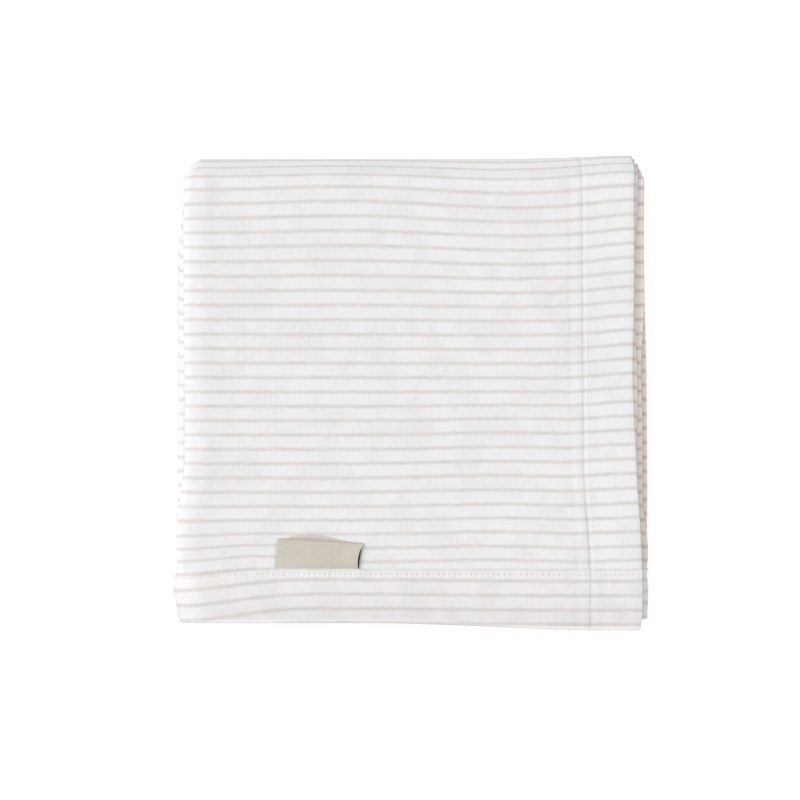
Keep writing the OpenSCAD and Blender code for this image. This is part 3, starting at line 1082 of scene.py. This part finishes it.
# %% [markdown]
# ## The sewing
# Each hem is held by one row of white lockstitch, a stitch every few millimetres.
# A dashed line in the finish would look flat from the side, so every stitch is a
# small bead of thread with tapered ends that dip into the needle holes.

# %% Spin the thread
def thread_finish():
    """White sewing thread with a fine twist."""
    material, desk, shader = new_finish("white_thread")
    spot = desk.node("ShaderNodeTexCoord", {}, {}, "Object")
    fibre = desk.node("ShaderNodeTexNoise", {}, {"Vector": spot, "Scale": 2600.0, "Detail": 2.0})
    plug(fibre.soft(0.3, 0.7).mix(dye(232, 231, 229), dye(240, 239, 238)), shader, "Base Color")
    plug(0.55 + 0.2 * fibre, shader, "Roughness")
    emboss(fibre, shader, 0.4, 0.1 * MM)
    return material


thread = thread_finish()
print("thread nodes:", len(thread.node_tree.nodes))

# %% Number the faces of a bead of thread
def bead_faces(rings, sides):
    """Faces of one bead of thread, ring after ring, with both of its ends closed."""
    faces = []
    for k in range(rings - 1):
        for s in range(sides):
            n = (s + 1) % sides
            faces.append([k * sides + s, (k + 1) * sides + s, (k + 1) * sides + n, k * sides + n])
    ring = np.arange(sides)
    faces.append(ring.tolist())
    faces.append(((rings - 1) * sides + ring[::-1]).tolist())
    return faces


# %% Sew one row of stitches
def sew(name, line, normals, lengths, wide, high):
    """A mesh object with one bead of thread for each stitch along a line on the cloth."""
    first = int(math.ceil(lengths[0] / stitch_pitch))
    count = int((lengths[-1] - first * stitch_pitch) / stitch_pitch)
    share = np.array([0.56, 0.66, 0.86, 1.14, 1.34, 1.44])
    swelling = np.array([0.35, 0.8, 1.0, 1.0, 0.8, 0.35])
    dip = np.array([-0.5, -0.1, 0.0, 0.0, -0.1, -0.5]) * high
    at = (first + np.arange(count)[:, None] + share) * stitch_pitch
    at = np.clip(at, lengths[0], lengths[-1])
    middle = np.stack([np.interp(at, lengths, line[:, k]) for k in range(3)], axis=-1)
    up = np.stack([np.interp(at, lengths, normals[:, k]) for k in range(3)], axis=-1)
    up = unit(up)
    beside = np.cross(unit(np.gradient(middle, axis=1)), up)
    sides = 6
    angles = np.radians(np.arange(sides) * 360 / sides)
    rings = (
        middle[:, :, None]
        + beside[:, :, None] * (np.cos(angles) * wide / 2)[:, None] * swelling[:, None, None]
        + up[:, :, None] * ((np.sin(angles) * high / 2)[:, None] * swelling[:, None, None]
                            + dip[:, None, None])
    )
    per = len(share) * sides
    faces = bead_faces(len(share), sides)
    every = [[f + per * k for f in face] for k in range(count) for face in faces]
    mesh = bpy.data.meshes.new(name)
    mesh.from_pydata(rings.reshape(-1, 3).tolist(), [], every)
    mesh.shade_smooth()
    row = bpy.data.objects.new(name, mesh)
    bpy.context.scene.collection.objects.link(row)
    row.data.materials.append(thread)
    print(name, "stitches:", count)
    return row


# %% Sew the two end hems
below_face = 0.1 * MM


def sew_end_hem(name, in_y, radius, side, replaced):
    """The row of stitches along one end hem."""
    line, lifting = hem_line(fine_step)
    place = np.array([in_y - stitch_in])
    skin = 1.5 * ply - stitch_sink
    face = settle(hem_points(line, lifting, place, skin, radius, side))[:, 0]
    inside = settle(hem_points(line, lifting, place, skin - below_face, radius, side))[:, 0]
    row = sew(name, face, unit(face - inside), travelled(line), 0.55 * MM, 0.4 * MM)
    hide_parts(replaced)
    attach(row, "upper_half")


sew_end_hem("near_hem_stitches", near_hem_in, outer_radius, 1, "near_thread")
sew_end_hem("far_hem_stitches", far_hem_in, inner_radius, -1, "far_thread")

# %% Sew the side hems
def sew_side_hem(name, x, w, lifting, strip_of):
    """A row of stitches along a side hem, over one strip of the packet."""
    face = settle(lay(np.array([[x, w]] * 2), strip_of)[0])[0]
    inside = settle(lay(np.array([[x, w - lifting * below_face]] * 2), strip_of)[0])[0]
    return sew(name, face, unit(face - inside), travelled(face), 0.4 * MM, 0.24 * MM)


row_stop = fold_y - 1.0 * MM
lower_row_strip = lower_leaves_strip(row_stop)
third_row_strip = third_leaf_strip(row_stop)
side_rows = {
    "right_hem_stitches_": (side_low.x + stitch_in, ply_one + ply / 2, 1, ply_one),
    "left_hem_stitches_": (tuck_low.x + stitch_in, ply_two - 1.5 * ply, -1, ply_two - ply),
}
for row_name, (row_x, row_w, row_up, row_middle) in side_rows.items():
    outer_row = sew_side_hem(row_name + "outer_leaves", row_x, row_w, row_up, outer_plain)
    bend_last_fold(outer_row, outer_bend, roll_tilt)
    lower_row = sew_side_hem(row_name + "lower_leaves", row_x, row_w, row_up, lower_row_strip)
    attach(lower_row, "lower_half")
    third_row = sew_side_hem(row_name + "third_leaf", row_x, row_w, row_up, third_row_strip)
    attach(third_row, "upper_half")
    fold_row = sew_side_hem(row_name + "inner_fold", row_x, row_middle, row_up, inner_strip)
    bend_last_fold(fold_row, inner_radius - row_middle - 0.3 * MM)
    if row_name.startswith("right"):
        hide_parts("side_thread_top_leaf", "side_thread_outer_fold")
        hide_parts("side_thread_bottom_leaf", "side_thread_lower_fold",
                    "side_thread_second_leaf")
        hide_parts("side_thread_third_leaf")
        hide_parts("side_thread_inner_fold")

# %% [markdown]
# ## The label
# A short length of greige woven tape is doubled and caught in the near hem, so it
# stands out of the seam as a small loop with open sides. The tape is bare. It is
# laid as one strip that runs up the front, over the fold and down the back, a
# little skewed, with its right side gaping, as on the real one.

# %% Weave the tape
tape_wide = label_high.x - label_low.x
tape_front = label_high.y - 0.1 * MM - near_hem_in


def tape_finish():
    """Greige cotton tape in a fine plain weave. The inner face at the gaping end is painted nearly
    black as painted shade, the back of the loop behind its crown is painted a flat beige tone for
    its light and shade, and a line of painted shade runs along the crease of its fold.
    """
    material, desk, shader = new_finish("greige_tape")
    place, across, along = cloth_place(desk)
    face = place.part(2)
    warp = (across * (2 * math.pi / (0.5 * MM))).wave()
    weft = (along * (2 * math.pi / (0.42 * MM))).wave()
    slub = speckle(desk, place, 3.0 * MM, 0.8 * MM)
    shade = (0.5 + 0.25 * warp * weft + (slub - 0.5)).soft(0.1, 0.9)
    colour = shade.mix(dye(205, 198, 187), dye(216, 209, 199))
    foot = along.soft(10 * MM, 0.0) * across.soft(30 * MM, 0.0)
    colour = (foot * 0.5).mix(colour, dye(224, 219, 214))
    # Painted shade: the inner face at the gaping right end is painted nearly black, for the shadow
    # in the gap.
    painted_gap_shade = face.soft(0.4, 0.1) * across.soft(tape_wide - 0.3 * MM, tape_wide - 0.9 * MM)
    # Painted light and shade: the back of the loop behind its crown is painted one flat beige tone.
    behind = along.soft(tape_front + 0.3 * MM, tape_front + 1.0 * MM) * face
    behind = behind * along.soft(tape_front + 6 * MM, tape_front + 3 * MM)
    colour = (behind * 0.7).mix(colour, dye(214, 206, 193))
    # Painted shade: a dark line of crease shadow runs along the fold at the top of the front.
    crease_shade = (1 - abs(along - tape_front - 0.3 * MM).soft(0.1 * MM, 0.45 * MM)) * face
    colour = (crease_shade * 0.6).mix(colour, dye(176, 166, 153))
    colour = (painted_gap_shade * 0.96).mix(colour, dye(38, 17, 14))
    plug(colour, shader, "Base Color")
    height = warp * weft * 0.5 + slub
    emboss(height, shader, 0.5, 0.1 * MM)
    plug(0.7 + 0.2 * slub, shader, "Roughness")
    shader.inputs["Specular IOR Level"].default_value = 0.25
    return material


tape = tape_finish()
print("tape, wide and to its fold, mm:", round(tape_wide / MM, 1), round(tape_front / MM, 1))

# %% Fold the tape into its loop
tape_thick = 0.2 * MM


def tape_loop():
    """Points of the label's middle surface before it settles, with its flat lengths."""
    foot, crown = near_hem_in - 1.2 * MM, label_high.y - 1.3 * MM
    front_high, back_high = 1.0 * MM, 0.12 * MM
    radius = (front_high - back_high) / 2
    path = joined(
        straight((foot, front_high), (crown, front_high), 0.8 * MM),
        turn((crown, back_high + radius), radius, 90, -90, 9),
        straight((crown, back_high), (foot, back_high), 0.8 * MM),
    )
    length = travelled(path)
    share = np.linspace(0, 1, 61)[:, None]
    up = np.clip((path[:, 0] - foot) / (crown - foot), 0, 1)
    front = np.clip((path[:, 1] - back_high) / (front_high - back_high), 0, 1)
    x = label_low.x - 1.0 * MM + tape_wide * share + 2.2 * MM * up
    opening = np.clip(4 * up * (0.92 - up), 0, 1) ** 0.7
    x = x - 1.9 * MM * front * opening * ease(share, 0.86, 1.0)
    roll_back = 4.1 * MM * (1 - front) * up ** 4 * np.sin(math.pi * share ** 0.75) ** 2
    y = path[:, 0] + up * (2.1 - 2.5 * share) * MM + roll_back
    sunk = front * (front_high - 0.34 * MM) * ease(up, 0.32, 0.02)
    gape = 1.0 * MM * front * opening * ease(share, 0.72, 1.0)
    bow = 0.3 * MM * front * up * np.sin(math.pi * share)
    z = leaf_top + path[:, 1] - sunk + gape + bow
    return np.stack((x, y, z), axis=-1), tape_wide * share + 0 * length, length + 0 * share


loop_points, loop_across, loop_along = tape_loop()
label_loop = thick_sheet(
    "label_loop_tape", settle(loop_points), loop_across, loop_along, tape_thick)
label_loop.data.materials.append(tape)
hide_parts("label_loop")
hem_edge = settle(np.array([[(label_low.x + label_high.x) / 2, near_hem_in, leaf_top]]))[0]
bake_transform(label_loop)

# %% Tuck the ends of the tape under the hem
ends_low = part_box("label_ends")[0]


def tape_ends():
    """Points of the doubled ends of the tape, under the near hem, with their flat lengths."""
    y = straight((ends_low.y, 0), (near_hem_in - 0.6 * MM, 0), 1.0 * MM)[:, 0]
    x = np.linspace(label_low.x, label_high.x, 24)[:, None]
    z = leaf_top + 0.24 * MM + 0 * x * y
    points = np.stack((x + 0 * y, y + 0 * x, z), axis=-1)
    return points, x - label_low.x + 0 * y, y - ends_low.y + 0 * x


ends_points, ends_across, ends_along = tape_ends()
label_ends = thick_sheet(
    "label_ends_tape", settle(ends_points), ends_across, ends_along, 2 * tape_thick)
label_ends.data.materials.append(tape)
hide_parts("label_ends")
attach(label_ends, "upper_half")

# %% [markdown]
# ## The floor, the light and the camera
# The packet lies on a white floor and is seen from straight above. A soft sun,
# thirty degrees wide like a large window, comes from the left, and an even sky
# fills the shade. An area lamp would do too, but its light falls off across the
# packet. Floor and sky are white for the camera, and the floor still takes the
# soft shadow at the edges.

# %% Find the rays that should see white
def seen_rays(desk):
    """1 for rays from the camera and for those that a glossy or clear surface sends on."""
    camera_ray = desk.node("ShaderNodeLightPath", {}, {}, "Is Camera Ray")
    glossy_ray = desk.node("ShaderNodeLightPath", {}, {}, "Is Glossy Ray")
    clear_ray = desk.node("ShaderNodeLightPath", {}, {}, "Is Transmission Ray")
    return camera_ray + glossy_ray + clear_ray


# %% Lay a white floor
half_floor, floor_grey, floor_glow = 3.0, 0.26, 0.855


def floor_finish():
    """A white floor that reads as white to the camera and still takes shadows."""
    material, desk, shader = new_finish("white_floor")
    tree = material.node_tree
    shader.inputs["Base Color"].default_value = (floor_grey, floor_grey, floor_grey, 1.0)
    shader.inputs["Roughness"].default_value = 0.95
    shader.inputs["Specular IOR Level"].default_value = 0.0
    seen = seen_rays(desk) * floor_glow
    glow = desk.node("ShaderNodeEmission", {}, {"Color": (1, 1, 1, 1), "Strength": seen})
    both = desk.node("ShaderNodeAddShader", {}, {0: Wire(tree, shader.outputs[0]), 1: glow})
    tree.links.new(both.socket, tree.nodes["Material Output"].inputs["Surface"])
    return material


floor_mesh = bpy.data.meshes.new("floor")
floor_mesh.from_pydata(
    [(-half_floor, -half_floor, 0), (half_floor, -half_floor, 0),
     (half_floor, half_floor, 0), (-half_floor, half_floor, 0)],
    [], [(0, 1, 2, 3)],
)
floor = bpy.data.objects.new("floor", floor_mesh)
floor.location.z = -0.2 * MM
bpy.context.scene.collection.objects.link(floor)
floor.data.materials.append(floor_finish())
print("side of the floor, m:", 2 * half_floor)

# %% Light the packet
sky_level, key_power, key_width = 0.71, 1.38, math.radians(30)
world = bpy.data.worlds.new("even_sky")
world.use_nodes = True
sky = world.node_tree.nodes["Background"]
sky.inputs["Color"].default_value = (1.0, 1.0, 1.0, 1.0)
seen = seen_rays(Wire(world.node_tree))
plug(seen * (1.0 - sky_level) + sky_level, sky, "Strength")
bpy.context.scene.world = world
key = bpy.data.lights.new("soft_window", "SUN")
key.angle = key_width
key.energy = key_power
key_lamp = bpy.data.objects.new("soft_window", key)
key_lamp.location = (-5.0, 2.3, 4.0)
toward = -key_lamp.location
key_lamp.rotation_euler = toward.to_track_quat("-Z", "Y").to_euler()
bpy.context.scene.collection.objects.link(key_lamp)
print("strength of the sky and the sun:", sky_level, key_power)

# %% Place the camera straight above
photo_side, camera_height, film_width = 0.4344, 1.5, 36.0
camera = bpy.data.cameras.new("above")
camera.sensor_width = film_width
camera.lens = film_width * camera_height / photo_side
camera_object = bpy.data.objects.new("above", camera)
camera_object.location = (-7.33 * MM, -3.26 * MM, leaf_top + camera_height)
bpy.context.scene.collection.objects.link(camera_object)
bpy.context.scene.camera = camera_object
bpy.context.scene.view_settings.view_transform = "Standard"
print("lens, mm:", round(camera.lens, 1))
